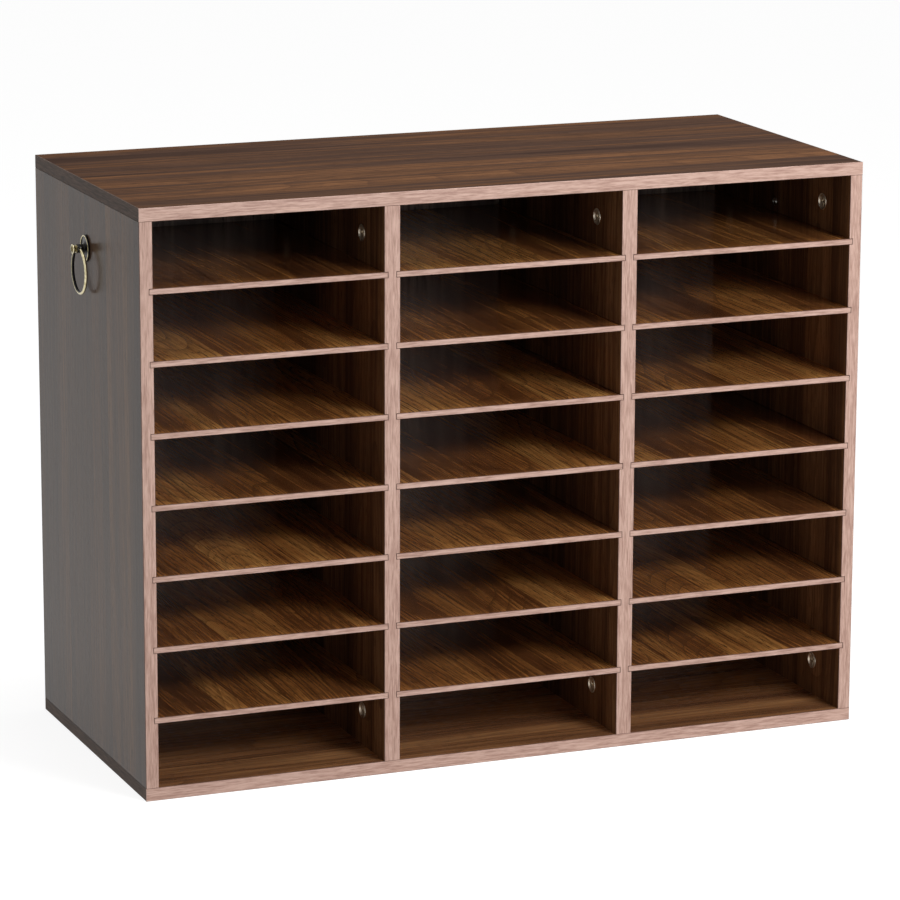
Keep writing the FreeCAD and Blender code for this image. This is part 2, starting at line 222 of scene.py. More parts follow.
def walnut_figure(tree, place, rings, fine, contrast, hair=150.0):
    """Gives the tone of the stripes, how much dark late wood lies on them, the fibres and the relief."""
    place, shift, joint = strips(tree, place, contrast)
    long_waves = cloud(tree, place, (1.6, 7.0, 30.0))
    drift = calc(tree, "MULTIPLY_ADD", long_waves, drift_reach, -0.5 * drift_reach)
    waver = calc(tree, "MULTIPLY_ADD", cloud(tree, place, (9.0, 30.0, 30.0)), waver_reach, drift)
    aside = add(tree, "CombineXYZ", {"Y": waver})
    wavy = add(tree, "VectorMath", {0: place, 1: aside}, operation="ADD")
    hill = cloud(tree, wavy, (1.1, 7.5, 41.0), detail=0.6)
    ring = calc(tree, "FRACT", calc(tree, "MULTIPLY", hill, rings))
    late = calc(tree, "MULTIPLY", calc(tree, "POWER", ring, ring_sharpness), ring_ink)
    broad = cloud(tree, wavy, (0.8, 17.0, 47.0), detail=3.0, rough=0.55)
    streak = cloud(tree, wavy, (2.6, hair, 60.0), detail=3.0, rough=0.6)
    tone = calc(tree, "MULTIPLY_ADD", streak, fine, calc(tree, "MULTIPLY_ADD", broad, 1.0 - fine, shift))
    vein = cloud(tree, wavy, (2.8, 380.0, 90.0), detail=3.0, rough=0.75)
    late = calc(tree, "MAXIMUM", late, slope(tree, vein, vein_edge, vein_core, high=vein_ink))
    late = calc(tree, "MAXIMUM", late, calc(tree, "MULTIPLY", joint, joint_ink))
    fibre = cloud(tree, place, (13.0, 820.0, 220.0), rough=0.6)
    flecks = cloud(tree, place, (70.0, 1500.0, 400.0), detail=0.0)
    pore = calc(tree, "GREATER_THAN", flecks, pore_level)
    late = calc(tree, "MAXIMUM", late, calc(tree, "MULTIPLY", pore, pore_ink))
    height = calc(tree, "SUBTRACT", calc(tree, "MULTIPLY", fibre, 0.4), pore)
    return tone, late, fibre, height


def walnut_colour(tree, figure, stripes, ink=None):
    """Colours the figure: stripes first, then the late wood, then the light and dark of the fibres."""
    tone, late, fibre, _ = figure
    darkest = stripes[0][1]
    colour = stain(tree, late, spread(tree, tone, stripes), ink or darkest)
    return stain(tree, 1.0, colour, spread(tree, fibre, fibre_greys), "MULTIPLY")


print("walnut figure ready, in strips", round(strip_width / MM), "mm wide")

# %% [markdown]
# A foiled board shows its core wherever it was sawn, grooved or drilled after
# the foil went on. The mask asks whether a point lies within 0.3 mm of one of
# the board's two faces. Painting the cut faces by hand would work too, but a
# rule in the material also reaches the groove walls that come into sight when a
# shelf is pulled out. The top board is the first to get its foil.

# %% Foiled board
foil_reach = 0.3 * MM
core_rough = 0.85
coat_rough = 0.12


def on_faces(tree, value, faces):
    """1 where the value lies on one of these faces, in metres, and 0 in the board's core."""
    total = 0.0
    for face in faces:
        total = calc(tree, "ADD", total, calc(tree, "COMPARE", value, face, foil_reach))
    return calc(tree, "MINIMUM", total, 1.0)


def chip_core(tree, place):
    """Particle board: pale and dark chips, pressed flat, a few millimetres long."""
    chips = cloud(tree, place, (160.0, 420.0, 600.0), rough=0.7)
    chip_tones = [(0.36, tint(112, 82, 54)), (0.5, tint(150, 116, 79)), (0.64, tint(176, 143, 104))]
    return spread(tree, chips, chip_tones)


def foiled_board(
    name, grain, stripes, faces, start, gloss, rough,
    rings=34.0, fine=0.42, contrast=0.14, painted_sheen=None, hair=150.0, ink=None, lacquer=0.0,
):
    """Foil on the faces at these levels or, with no levels, on all that looks along the axis."""
    material, tree, shader = start_finish(
        name, Specular_IOR_Level=gloss, Coat_Weight=lacquer, Coat_Roughness=coat_rough
    )
    place = along_grain(tree, grain, start)
    figure = walnut_figure(tree, place, rings, fine, contrast, hair)
    colour = walnut_colour(tree, figure, stripes, ink)
    axis, levels = faces
    part = split(tree, coordinates(tree, "Object" if levels else "Normal"))[axis]
    size = calc(tree, "ABSOLUTE", part)
    # The outer faces get a greyer copy of the print: painted sheen of the pale room.
    if painted_sheen:
        outside, sheen_stripes = painted_sheen
        sheen_colour = walnut_colour(tree, figure, sheen_stripes)
        colour = stain(tree, on_faces(tree, size, [outside]), colour, sheen_colour)
    foil = on_faces(tree, size, levels) if levels else calc(tree, "GREATER_THAN", size, 0.5)
    *_, height = figure
    shine = calc(tree, "MULTIPLY_ADD", height, -0.05, rough - core_rough)
    feed(
        tree, shader,
        Base_Color=stain(tree, foil, chip_core(tree, place), colour),
        Roughness=calc(tree, "MULTIPLY_ADD", foil, shine, core_rough),
    )
    relief(tree, shader, height, depth=0.05 * MM, strength=0.35)
    return material


def wood_tones(*tones, places=(0.36, 0.46, 0.53, 0.64)):
    """Four tones of wood from dark to light, each at its place on the print's scale."""
    return [(place, tint(*tone)) for place, tone in zip(places, tones)]


def dress(material, *names):
    """Gives nodes of the frame their finish, through their objects' own slots."""
    for name in names:
        piece = nodes[name]
        for slot in piece.material_slots:
            slot.link = "OBJECT"
            slot.material = material
    print(material.name, "on", ", ".join(names))


case_height = 569.0 * MM
outer_board = 12.8 * MM
top_stripes = wood_tones((76, 59, 52), (98, 75, 63), (115, 83, 62), (138, 98, 70))
top_faces = ("Z", (case_height, case_height - outer_board))
walnut_top = foiled_board(
    "walnut_top_foil", "X", top_stripes, top_faces, (3.1, 1.7, 0.4), gloss=0.0, rough=0.45, contrast=0.08
)
dress(walnut_top, "top_panel")

# %% [markdown]
# The bottom board wears the same print in warmer and lighter tones than the top
# board. It is the floor of the lowest slots, so it also has a gloss and a thin
# clear coat, which mirror the dark end of the slot. The uprights are cut from the
# sheet with the grain standing up. Their foil is smoother than the top board's,
# so the outer faces pick up the pale room at a low angle and show a soft image of
# the pull.
# The outer faces are also printed greyer than the faces inside the slots:
# painted sheen of the pale room, on top of its real reflection.

# %% Bottom board and uprights
bottom_stripes = wood_tones((101, 65, 44), (135, 92, 60), (166, 116, 75), (200, 146, 96))
bottom_faces = ("Z", (0.0, outer_board))
walnut_bottom = foiled_board(
    "walnut_bottom_foil", "X", bottom_stripes, bottom_faces, (7.7, 4.2, 0.9),
    gloss=0.8, rough=0.26, contrast=0.08, lacquer=0.2,
)
dress(walnut_bottom, "bottom_panel")
panel_face = 372.0 * MM
inner_face = 359.2 * MM
divider_left, divider_right = 114.4 * MM, 130.4 * MM
inner_stripes = wood_tones((72, 46, 31), (98, 66, 43), (122, 84, 54), (148, 106, 70))
# Greyer stripes for the uprights' outer faces: painted sheen of the pale room.
outer_sheen_stripes = wood_tones((80, 63, 53), (94, 73, 58), (107, 80, 61), (127, 94, 66))
upright_faces = ("X", (panel_face, inner_face, divider_right, divider_left))
walnut_upright = foiled_board(
    "walnut_upright_foil", "Z", inner_stripes, upright_faces, (5.3, 2.9, 0.2),
    gloss=0.06, rough=0.22, rings=26.0, fine=0.34, contrast=0.16, painted_sheen=(panel_face, outer_sheen_stripes),
)
dress(walnut_upright, "left_side_panel", "right_side_panel", "left_divider", "right_divider")

# %% [markdown]
# The shelves are thin boards cut with the grain running from front to back. A
# shelf's foil covers its two broad faces, and everything that faces sideways
# is core, so here the mask asks which way the surface looks. The foil has a
# full gloss under a thin clear coat: seen at a low angle, the dark end of a
# slot mirrors in its shelf. A thicker coat would veil the dark grain lines.

# %% Shelves
# The shelf print is lighter and more golden than the walnut of the other boards: painted light, standing
# in for the light inside the slots.
shelf_stripes_painted_light = wood_tones(
    (98, 58, 32), (138, 86, 46), (182, 121, 64), (218, 160, 90), places=(0.35, 0.44, 0.53, 0.65)
)
walnut_shelf = foiled_board(
    "walnut_shelf_foil", "Y", shelf_stripes_painted_light, ("Z", None), (1.9, 7.3, 5.0),
    gloss=0.8, rough=0.22, rings=40.0, hair=420.0, ink=tint(58, 32, 18), lacquer=0.2,
)
columns = ["left", "middle", "right"]
shelves = [f"{column}_shelf_{level}" for column in columns for level in range(1, 8)]
dress(walnut_shelf, *shelves)

# %% [markdown]
# The back is a thin hardboard sheet, printed in walnut on the side that shows
# inside the slots and bare brown on the other. That print is greyer and paler
# than the walnut elsewhere: painted light, for the grey haze at the far end of
# the slots. Bare hardboard has a fine woven print from the screen that it was
# pressed on, which a pair of crossed waves gives.

# %% Back board
back_figure_face = 143.0 * MM
print_rough, bare_rough = 0.43, 0.78
walnut_back, tree, shader = start_finish("walnut_back_print", Specular_IOR_Level=0.35)
place = along_grain(tree, "Z", (2.2, 8.4, 1.1))
figure = walnut_figure(tree, place, rings=26.0, fine=0.42, contrast=0.1)
*_, print_height = figure
# Greyer and paler than walnut: painted haze of light at the back of the slots.
back_stripes_painted_haze = wood_tones((92, 78, 73), (116, 100, 93), (134, 116, 107), (154, 134, 123))
own = coordinates(tree)
front = calc(tree, "LESS_THAN", split(tree, own)["Y"], back_figure_face + foil_reach)
pulp = cloud(tree, place, (240.0, 240.0, 240.0), detail=4.0, rough=0.7)
raw = spread(tree, pulp, [(0.3, tint(92, 62, 40)), (0.5, tint(116, 80, 52)), (0.7, tint(138, 99, 68))])
wires = [
    add(tree, "TexWave", {"Vector": own, "Scale": 260.0}, give=1, bands_direction=way)
    for way in ("X", "Z")
]
screen = calc(tree, "MULTIPLY", *wires)
feed(
    tree, shader,
    Base_Color=stain(tree, front, raw, walnut_colour(tree, figure, back_stripes_painted_haze)),
    Roughness=calc(tree, "MULTIPLY_ADD", front, print_rough - bare_rough, bare_rough),
)
height = add(tree, "Mix", {0: front, 2: screen, 3: print_height})
relief(tree, shader, height, depth=0.08 * MM, strength=0.6)
dress(walnut_back, "back_panel")

# %% [markdown]
# The front edges are covered with pale plastic tape, printed with hair-fine
# lines and short pores along its length. The left and right ends of the top and
# bottom boards have the same tape in a grey walnut print. Each tape is trimmed
# flush with a small slope along both arrises, and there a thin dark line is
# painted: partly the cut body of the tape and its glue line, partly painted
# shade in the joint. The mask for it asks whether the surface looks straight
# out of the edge. Above the top board the arris keeps the tape's own colour,
# with no dark line.

# %% Edge tapes
unlined_from = 568.5 * MM


def edge_tape(name, grain, tones, start, looks, seam_and_shade, gloss=0.3):
    """Tape whose broad face looks along one axis, with one dark colour for its cut edge, glued seam and
    the painted shade in the joint.
    """
    material, tree, shader = start_finish(name, Specular_IOR_Level=gloss)
    place = along_grain(tree, grain, start)
    hair = cloud(tree, place, (55.0, 760.0, 760.0), detail=3.0, rough=0.7)
    broad = cloud(tree, place, (6.0, 260.0, 260.0), detail=3.0, rough=0.6)
    slow = cloud(tree, place, (3.0, 30.0, 30.0), detail=1.0)
    tone = calc(tree, "MULTIPLY_ADD", hair, 0.7, calc(tree, "MULTIPLY", broad, 0.2))
    tone = calc(tree, "MULTIPLY_ADD", slow, 0.1, tone)
    pale, mid, line = tones
    colour = spread(tree, tone, [(0.39, line), (0.5, mid), (0.61, pale)])
    facing = split(tree, coordinates(tree, "Normal"))[looks]
    arris = calc(tree, "LESS_THAN", calc(tree, "ABSOLUTE", facing), 0.9)
    below_top = calc(tree, "LESS_THAN", split(tree, coordinates(tree))["Z"], unlined_from)
    # A thin dark line on the arrises: cut edge and glue line, plus painted shade in the joint.
    colour = stain(tree, calc(tree, "MULTIPLY", arris, below_top), colour, seam_and_shade)
    feed(tree, shader, Base_Color=colour, Roughness=calc(tree, "MULTIPLY_ADD", hair, 0.2, 0.36))
    relief(tree, shader, hair, depth=0.03 * MM, strength=0.4)
    return material


rose_wood = (tint(200, 167, 153), tint(183, 149, 135), tint(156, 121, 108))
rose_seam_and_shade = tint(96, 68, 56)
grey_walnut = (tint(116, 96, 85), tint(93, 76, 66), tint(62, 49, 41))
grey_seam_and_shade = tint(40, 32, 27)
level_tape = edge_tape("pale_tape_level", "X", rose_wood, (0.3, 0.9, 1.4), "Y", rose_seam_and_shade)
upright_tape = edge_tape("pale_tape_upright", "Z", rose_wood, (4.3, 2.9, 3.4), "Y", rose_seam_and_shade)
end_tape = edge_tape("walnut_tape_ends", "Y", grey_walnut, (6.3, 1.9, 5.4), "X", grey_seam_and_shade, gloss=0.04)
dress(level_tape, "long_edge_bands", *(f"{shelf}_band" for shelf in shelves))
dress(upright_tape, "upright_edge_bands")
dress(end_tape, "end_edge_bands")

# %% [markdown]
# Cam locks are cast in a dull zinc alloy, and their bolts are turned from
# bright plated steel. The dowels are beech. The casting gets a grainy skin
# with slightly uneven shine, the bolts get fine turning lines, and the beech
# gets the short flecks that tell it from other pale woods.

# %% Zinc, steel and beech
def cast_or_turned(name, tones, rough, grain_per_metre, metallic=1.0):
    """Bare metal from dark to bright. Its skin follows the grain: even when cast, in lines when turned."""
    material, tree, shader = start_finish(name, Metallic=metallic)
    own = coordinates(tree)
    skin = cloud(tree, own, grain_per_metre, detail=3.0, rough=0.7)
    dull = cloud(tree, own, (160.0, 160.0, 160.0))
    tone = calc(tree, "MULTIPLY_ADD", skin, 0.5, calc(tree, "MULTIPLY", dull, 0.5))
    dark, bright = tones
    feed(
        tree, shader,
        Base_Color=spread(tree, tone, [(0.38, dark), (0.62, bright)]),
        Roughness=calc(tree, "MULTIPLY_ADD", dull, 0.3, rough),
    )
    relief(tree, shader, skin, depth=0.03 * MM, strength=0.5)
    return material


zinc_tones = (tint(206, 194, 174), tint(242, 231, 212))
cam_zinc = cast_or_turned("cam_zinc_cast", zinc_tones, 0.28, (900.0, 900.0, 900.0), metallic=0.92)
steel_tones = (tint(150, 150, 148), tint(205, 204, 198))
bolt_steel = cast_or_turned("bolt_steel_plated", steel_tones, 0.1, (300.0, 300.0, 2600.0))
beech, tree, shader = start_finish("beech_dowel", Specular_IOR_Level=0.3, Roughness=0.6)
place = along_grain(tree, "Z")
fleck = cloud(tree, place, (350.0, 2200.0, 2200.0))
fine = cloud(tree, place, (60.0, 1400.0, 1400.0))
wood = spread(tree, fine, [(0.35, tint(196, 158, 112)), (0.65, tint(223, 190, 145))])
darker = calc(tree, "MULTIPLY", calc(tree, "GREATER_THAN", fleck, 0.62), 0.5)
feed(tree, shader, Base_Color=stain(tree, darker, wood, tint(150, 104, 66)))
relief(tree, shader, fine, depth=0.04 * MM, strength=0.6)
dress(bolt_steel, "cam_bolts")
dress(beech, "wood_dowels")

# %% [markdown]
# The pulls are antique brass: the whole fitting was darkened, and then rubbed
# back on everything that stands proud. So the colour follows the height of the
# turning. Near the plate's dish and the root of the post it stays nearly
# black, and on the bead, the button and the ring's outside the brass shows.
# On the post the dark also runs along the whole barrel and round the button's
# point: there it is painted shade, beyond the patina in the hollow by the rose.
# Distances are reckoned from the axis of the pull or, for the ring, from its
# centre. They are taken in the piece's own coordinates, so that the wear stays
# on the metal when the ring swings.

# %% Antique brass
pull_height = 504.0 * MM
ring_centre_height = 482.5 * MM
ring_radius = 21.5 * MM
bead_radius = 12.05 * MM
groove_radius = 3.2 * MM
button_reach = 13.2 * MM
brass_tones = [
    (0.10, tint(30, 31, 33)),
    (0.42, tint(70, 64, 48)),
    (0.70, tint(150, 137, 94)),
    (0.95, tint(214, 203, 166)),
]


def antique_brass(name, wear_and_shade_by):
    """Brass that goes from smoked to bare by how much it was rubbed, with a patchy smoke over that. On the
    post the map also holds painted shade.
    """
    material, tree, shader = start_finish(name, Metallic=1.0)
    own = coordinates(tree)
    smoke = cloud(tree, own, (420.0, 420.0, 420.0), detail=3.0, rough=0.6)
    scuff = cloud(tree, own, (1500.0, 1500.0, 1500.0))
    patches = calc(tree, "MULTIPLY_ADD", smoke, 0.7, -0.35)
    rubbed = calc(tree, "ADD", wear_and_shade_by(tree, own), patches)
    dull = calc(tree, "MULTIPLY_ADD", scuff, 0.16, 0.2)
    feed(
        tree, shader,
        Base_Color=spread(tree, rubbed, brass_tones),
        Roughness=calc(tree, "MULTIPLY_ADD", rubbed, -0.08, dull),
    )
    relief(tree, shader, smoke, depth=0.05 * MM, strength=0.4)
    return material


def from_axis(tree, own, height):
    """How far a point is from a level line across the case at this height, and how far along it."""
    parts = split(tree, own)
    up = calc(tree, "SUBTRACT", parts["Z"], height)
    depth_squared = calc(tree, "MULTIPLY", parts["Y"], parts["Y"])
    radius = calc(tree, "SQRT", calc(tree, "MULTIPLY_ADD", up, up, depth_squared))
    return radius, calc(tree, "ABSOLUTE", parts["X"])


def rubbed_plate(tree, own):
    """Bright on the crest of the bead and, less so, on the hub."""
    radius, _ = from_axis(tree, own, pull_height)
    from_crest = calc(tree, "ABSOLUTE", calc(tree, "SUBTRACT", radius, bead_radius))
    bead = slope(tree, from_crest, 0.85 * MM, 0.35 * MM)
    hub = slope(tree, radius, 6.2 * MM, 5.2 * MM, high=0.4)
    return calc(tree, "MULTIPLY_ADD", calc(tree, "MAXIMUM", bead, hub), 0.8, 0.08)


def worn_and_shaded_post(tree, own):
    """Bright towards the button, but dark in the button's groove, along the barrel and round its point.
    The groove and the root hold patina; the dark barrel and point are painted shade.
    """
    radius, outward = from_axis(tree, own, pull_height)
    # Dark up to 9 mm out: patina by the rose, then painted shade along the barrel under the button and the
    # ring.
    proud = slope(tree, outward, panel_face + 9 * MM, panel_face + 12 * MM, 0.14, 0.95)
    from_groove = calc(tree, "ABSOLUTE", calc(tree, "SUBTRACT", radius, groove_radius))
    groove = slope(tree, from_groove, 0.3 * MM, 0.6 * MM, 0.75, 0.0)
    # Painted shade on the button's point.
    middle = slope(tree, radius, 2.4 * MM, 3.4 * MM, 0.4, 0.0)
    on_button = calc(tree, "GREATER_THAN", outward, panel_face + button_reach)
    tarnish_and_shade = calc(tree, "MULTIPLY", calc(tree, "MAXIMUM", groove, middle), on_button)
    return calc(tree, "SUBTRACT", proud, tarnish_and_shade)


def rubbed_ring(tree, own):
    """Dark on the inside of the ring and bright from the middle of its wire outwards."""
    radius, _ = from_axis(tree, own, ring_centre_height)
    return slope(tree, radius, 20.3 * MM, ring_radius, 0.08, 0.9)


plate_brass = antique_brass("antique_brass_plate", rubbed_plate)
post_brass = antique_brass("antique_brass_post", worn_and_shaded_post)
ring_brass = antique_brass("antique_brass_ring", rubbed_ring)
print("three brasses, each worn where its piece stands proud")

# %% [markdown]
# Turned parts are made as on a lathe. A circle is laid at the first station of
# the profile, and its rim is drawn out along the axis and scaled to the next
# radius, station by station. Spinning a drawn outline would give the same
# form, but here every station can be read as a height and a radius. A profile
# that ends where it began closes on itself, which leaves a bore.

# %% Lathe
smooth_up_to = math.radians(38)
weld_reach = 0.002 * MM


def select_only(piece):
    """Operators act on all that is selected, so everything else is let go first."""
    bpy.ops.object.select_all(action="DESELECT")
    piece.select_set(True)
    bpy.context.view_layer.objects.active = piece


def turned(name, centre, out, stations, flats):
    """Turns a piece about a line across the case. Stations are height and radius in millimetres."""
    bpy.ops.object.select_all(action="DESELECT")
    bored = stations[0] == stations[-1]
    height, radius = stations[0]
    bpy.ops.mesh.primitive_circle_add(
        vertices=flats,
        radius=radius * MM,
        fill_type="NOTHING" if bored else "NGON",
        location=centre + out * height * MM,
        rotation=(0, math.pi / 2, 0),
    )
    piece = bpy.context.active_object
    piece.name = name
    bpy.ops.object.mode_set(mode="EDIT")
    bpy.ops.mesh.select_all(action="SELECT")
    for (height, radius), (next_height, next_radius) in zip(stations, stations[1:]):
        step = out * (next_height - height) * MM
        bpy.ops.mesh.extrude_region_move(TRANSFORM_OT_translate={"value": step})
        scale = next_radius / radius
        pivot = centre + out * next_height * MM
        bpy.ops.transform.resize(value=(1, scale, scale), center_override=pivot)
    bpy.ops.mesh.select_all(action="SELECT")
    bpy.ops.mesh.remove_doubles(threshold=weld_reach)
    bpy.ops.mesh.normals_make_consistent(inside=False)
    bpy.ops.object.mode_set(mode="OBJECT")
    settle(piece)
    return piece


def settle(piece):
    """Puts a finished piece's place into its mesh, and smooths all but its real corners."""
    select_only(piece)
    bpy.ops.object.transform_apply(location=True, rotation=True, scale=True)
    bpy.ops.object.shade_smooth_by_angle(angle=smooth_up_to)
    print(piece.name, "has", len(piece.data.polygons), "faces")


def carve(piece, cutter):
    """Takes the cutter's form out of the piece, and the cutter away."""
    select_only(piece)
    cut = piece.modifiers.new("cut", "BOOLEAN")
    cut.operation = "DIFFERENCE"
    cut.solver = "EXACT"
    cut.object = cutter
    bpy.ops.object.modifier_apply(modifier=cut.name)
    bpy.data.objects.remove(cutter)


def hang(piece, material, body, slot, *stands_for):
    """Gives a piece its finish and the body that it moves with, and hides the nodes that it stands for."""
    piece.data.materials.clear()
    piece.data.materials.append(material)
    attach(piece, body)
    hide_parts(*stands_for)


print("lathe ready")

# %% [markdown]
# The back plate, or rose, is pressed from thin brass and then turned: a raised
# bead round the rim, a shallow dish, and a hub that rises to carry the post.
# All the roundings are in the stations, close together where the bead turns
# over, so that it catches a thin bright line.

# %% Roses
rose_stations = [
    (0.0, 4.2), (0.0, 12.6), (0.12, 12.88), (0.4, 13.0), (1.2, 13.0), (1.55, 12.92), (1.88, 12.7),
    (2.1, 12.4), (2.18, 12.05), (2.1, 11.72), (1.85, 11.48), (1.5, 11.36), (1.3, 11.1), (1.22, 10.4),
    (1.2, 9.2), (1.24, 8.2), (1.36, 7.4), (1.6, 6.7), (1.9, 6.2), (2.1, 5.85), (2.18, 5.5), (2.2, 5.1),
    (2.2, 4.2), (0.0, 4.2),
]
sides = {
    side: (Vector((way * panel_face, 0, pull_height)), Vector((way, 0, 0)))
    for side, way in (("left", -1), ("right", 1))
}
for side, (centre, out) in sides.items():
    rose = turned(f"{side}_rose", centre, out, rose_stations, flats=72)
    hang(rose, plate_brass, "cabinet", "antique_brass", "pull_roses")

# %% [markdown]
# The post is one turning: a spigot that sits in the rose, a flange, a plain
# barrel and a button with a low point. The eye for the ring is drilled across
# it. The drill is a cylinder whose two end faces are drawn out and widened, so
# that the hole gets its countersunk edges in the same cut.

# %% Posts
eye_height = 7.0
drill_radius, drill_half = 2.22, 3.6
mouth_depth, mouth_widening = 1.6, 1.5
post_stations = [
    (0.02, 4.0), (2.2, 4.0), (2.22, 4.8), (2.4, 5.0), (2.75, 5.0), (3.0, 4.82), (3.15, 4.4), (3.4, 4.2),
    (10.3, 4.2), (10.58, 4.08), (10.62, 3.0), (10.8, 2.8), (11.1, 2.85), (11.3, 3.15), (12.0, 4.0),
    (12.6, 4.48), (12.9, 4.6), (13.6, 4.6), (13.9, 4.5), (14.05, 4.25), (14.05, 3.9), (13.9, 3.6),
    (13.75, 3.35), (13.75, 3.05), (13.95, 2.85), (14.5, 2.6), (14.95, 2.25), (15.25, 1.8), (15.45, 1.2),
    (15.54, 0.6), (15.56, 0.15),
]


def pick_faces(piece, rule):
    """Goes into edit mode with only the faces picked whose middle obeys the rule."""
    bpy.ops.object.mode_set(mode="EDIT")
    bpy.ops.mesh.select_mode(type="FACE")
    bpy.ops.mesh.select_all(action="DESELECT")
    bpy.ops.object.mode_set(mode="OBJECT")
    for face in piece.data.polygons:
        face.select = rule(piece.matrix_world @ face.center)
    bpy.ops.object.mode_set(mode="EDIT")


for side, (centre, out) in sides.items():
    post = turned(f"{side}_post", centre, out, post_stations, flats=56)
    eye_place = centre + out * eye_height * MM
    bpy.ops.object.select_all(action="DESELECT")
    bpy.ops.mesh.primitive_cylinder_add(
        vertices=40,
        radius=drill_radius * MM,
        depth=2 * drill_half * MM,
        location=eye_place,
        rotation=(math.pi / 2, 0, 0),
    )
    drill = bpy.context.active_object
    for way in (-1, 1):
        pick_faces(drill, lambda middle: middle.y * way > (drill_half - 0.1) * MM)
        drawn_out = (0, way * mouth_depth * MM, 0)
        bpy.ops.mesh.extrude_region_move(TRANSFORM_OT_translate={"value": drawn_out})
        mouth = eye_place + Vector((0, way * (drill_half + mouth_depth) * MM, 0))
        bpy.ops.transform.resize(value=(mouth_widening, 1, mouth_widening), center_override=mouth)
        bpy.ops.object.mode_set(mode="OBJECT")
    carve(post, drill)
    settle(post)
    hang(post, post_brass, "cabinet", "antique_brass", "pull_posts")

# %% [markdown]
# The ring is bent from round wire. A torus gives the bend. Where the ring
# hangs in the eye its wire is worn thinner, so the loops there are picked by
# their place and drawn in a little, deepest in the middle.

# %% Rings
wire_radius = 1.5 * MM
worn_steps = ((3.2, 0.05), (2.2, 0.06), (1.3, 0.05))
for side, (centre, out) in sides.items():
    middle = Vector((centre.x + out.x * eye_height * MM, 0, ring_centre_height))
    bpy.ops.object.select_all(action="DESELECT")
    bpy.ops.mesh.primitive_torus_add(
        location=middle,
        rotation=(0, math.pi / 2, 0),
        major_radius=ring_radius,
        minor_radius=wire_radius,
        major_segments=128,
        minor_segments=20,
    )
    ring = bpy.context.active_object
    ring.name = f"{side}_ring_wire"
    settle(ring)
    bpy.ops.object.mode_set(mode="EDIT")
    bpy.ops.mesh.select_mode(type="VERT")
    for reach, worn in worn_steps:
        bpy.ops.mesh.select_all(action="DESELECT")
        bpy.ops.object.mode_set(mode="OBJECT")
        for point in ring.data.vertices:
            point.select = point.co.z > pull_height - 3 * MM and abs(point.co.y) < reach * MM
        bpy.ops.object.mode_set(mode="EDIT")
        bpy.ops.transform.shrink_fatten(value=-worn * MM)
    bpy.ops.object.mode_set(mode="OBJECT")
    hang(ring, ring_brass, f"{side}_ring", "antique_brass", f"{side}_ring")

# %% [markdown]
# Each pull is held by a machine screw from inside the case. Its pan head has a
# cross recess, cut by two crossed slots.

# %% Pull screws
screw_stations = [
    (4.0, 1.6), (3.6, 2.0), (-12.8, 2.0), (-12.8, 3.9), (-13.0, 4.0), (-13.6, 4.0), (-14.05, 3.85),
    (-14.45, 3.5), (-14.75, 3.0), (-14.97, 2.3), (-15.12, 1.4), (-15.2, 0.2),
]
screw_top = 15.2


def cross_slots(piece, centre, length, width, depth):
    """Cuts two crossed slots, half their depth either side of the centre."""
    for along, up in ((length, width), (width, length)):
        bpy.ops.object.select_all(action="DESELECT")
        bpy.ops.mesh.primitive_cube_add(size=1.0, location=centre, scale=(depth * MM, along * MM, up * MM))
        carve(piece, bpy.context.active_object)


for side, (centre, out) in sides.items():
    screw = turned(f"{side}_pull_screw", centre, out, screw_stations, flats=40)
    cross_slots(screw, centre - out * screw_top * MM, length=4.4, width=0.9, depth=2.8)
    settle(screw)
    hang(screw, bolt_steel, "cabinet", "bolt_steel", "pull_screws")

# %% [markdown]
# A cam lock is a small zinc casting that drops into a round pocket. It has a
# thin rim that covers the pocket's edge, a face that is sunk like a saucer,
# with a cross for the driver, and a chamber behind it that grips the bolt's
# head. The middle of the saucer mirrors the dark slot, while its slope looks
# out of the slot and shines. One is made in the left side panel and then
# copied, turned and set in all sixteen pockets.

# %% Cam discs
cam_row = 105.0 * MM
low_cam, high_cam = 47.8 * MM, 521.2 * MM
cam_face = Vector((-inner_face, -cam_row, low_cam))
inward = Vector((1, 0, 0))
cam_stations = [
    (-10.2, 7.3), (-10.0, 7.5), (-0.02, 7.5), (0.0, 8.1), (0.1, 8.2), (0.3, 8.2), (0.5, 8.08), (0.6, 7.9),
    (0.6, 7.75), (0.5, 7.6), (0.2, 7.42), (-0.2, 7.16), (-0.6, 6.82), (-0.95, 6.42), (-1.2, 5.95),
    (-1.35, 5.45), (-1.4, 4.9), (-1.4, 0.5),
]
cam = turned("cam_pattern", cam_face, inward, cam_stations, flats=48)
chamber_radius, chamber_length, chamber_depth = 5.4, 8.0, 6.9
mouth_width, mouth_height, mouth_drop = 7.0, 6.0, 6.0
cross_level = 1.45
chamber_place = cam_face - inward * chamber_depth * MM
bpy.ops.object.select_all(action="DESELECT")
bpy.ops.mesh.primitive_cylinder_add(
    vertices=32,
    radius=chamber_radius * MM,
    depth=chamber_length * MM,
    location=chamber_place,
    rotation=(0, math.pi / 2, 0),
)
carve(cam, bpy.context.active_object)
bpy.ops.object.select_all(action="DESELECT")
bpy.ops.mesh.primitive_cube_add(
    size=1.0,
    location=chamber_place - Vector((0, 0, mouth_drop * MM)),
    scale=(chamber_length * MM, mouth_width * MM, mouth_height * MM),
)
carve(cam, bpy.context.active_object)
cross_slots(cam, cam_face - inward * cross_level * MM, length=9.0, width=1.7, depth=1.8)
copies = []
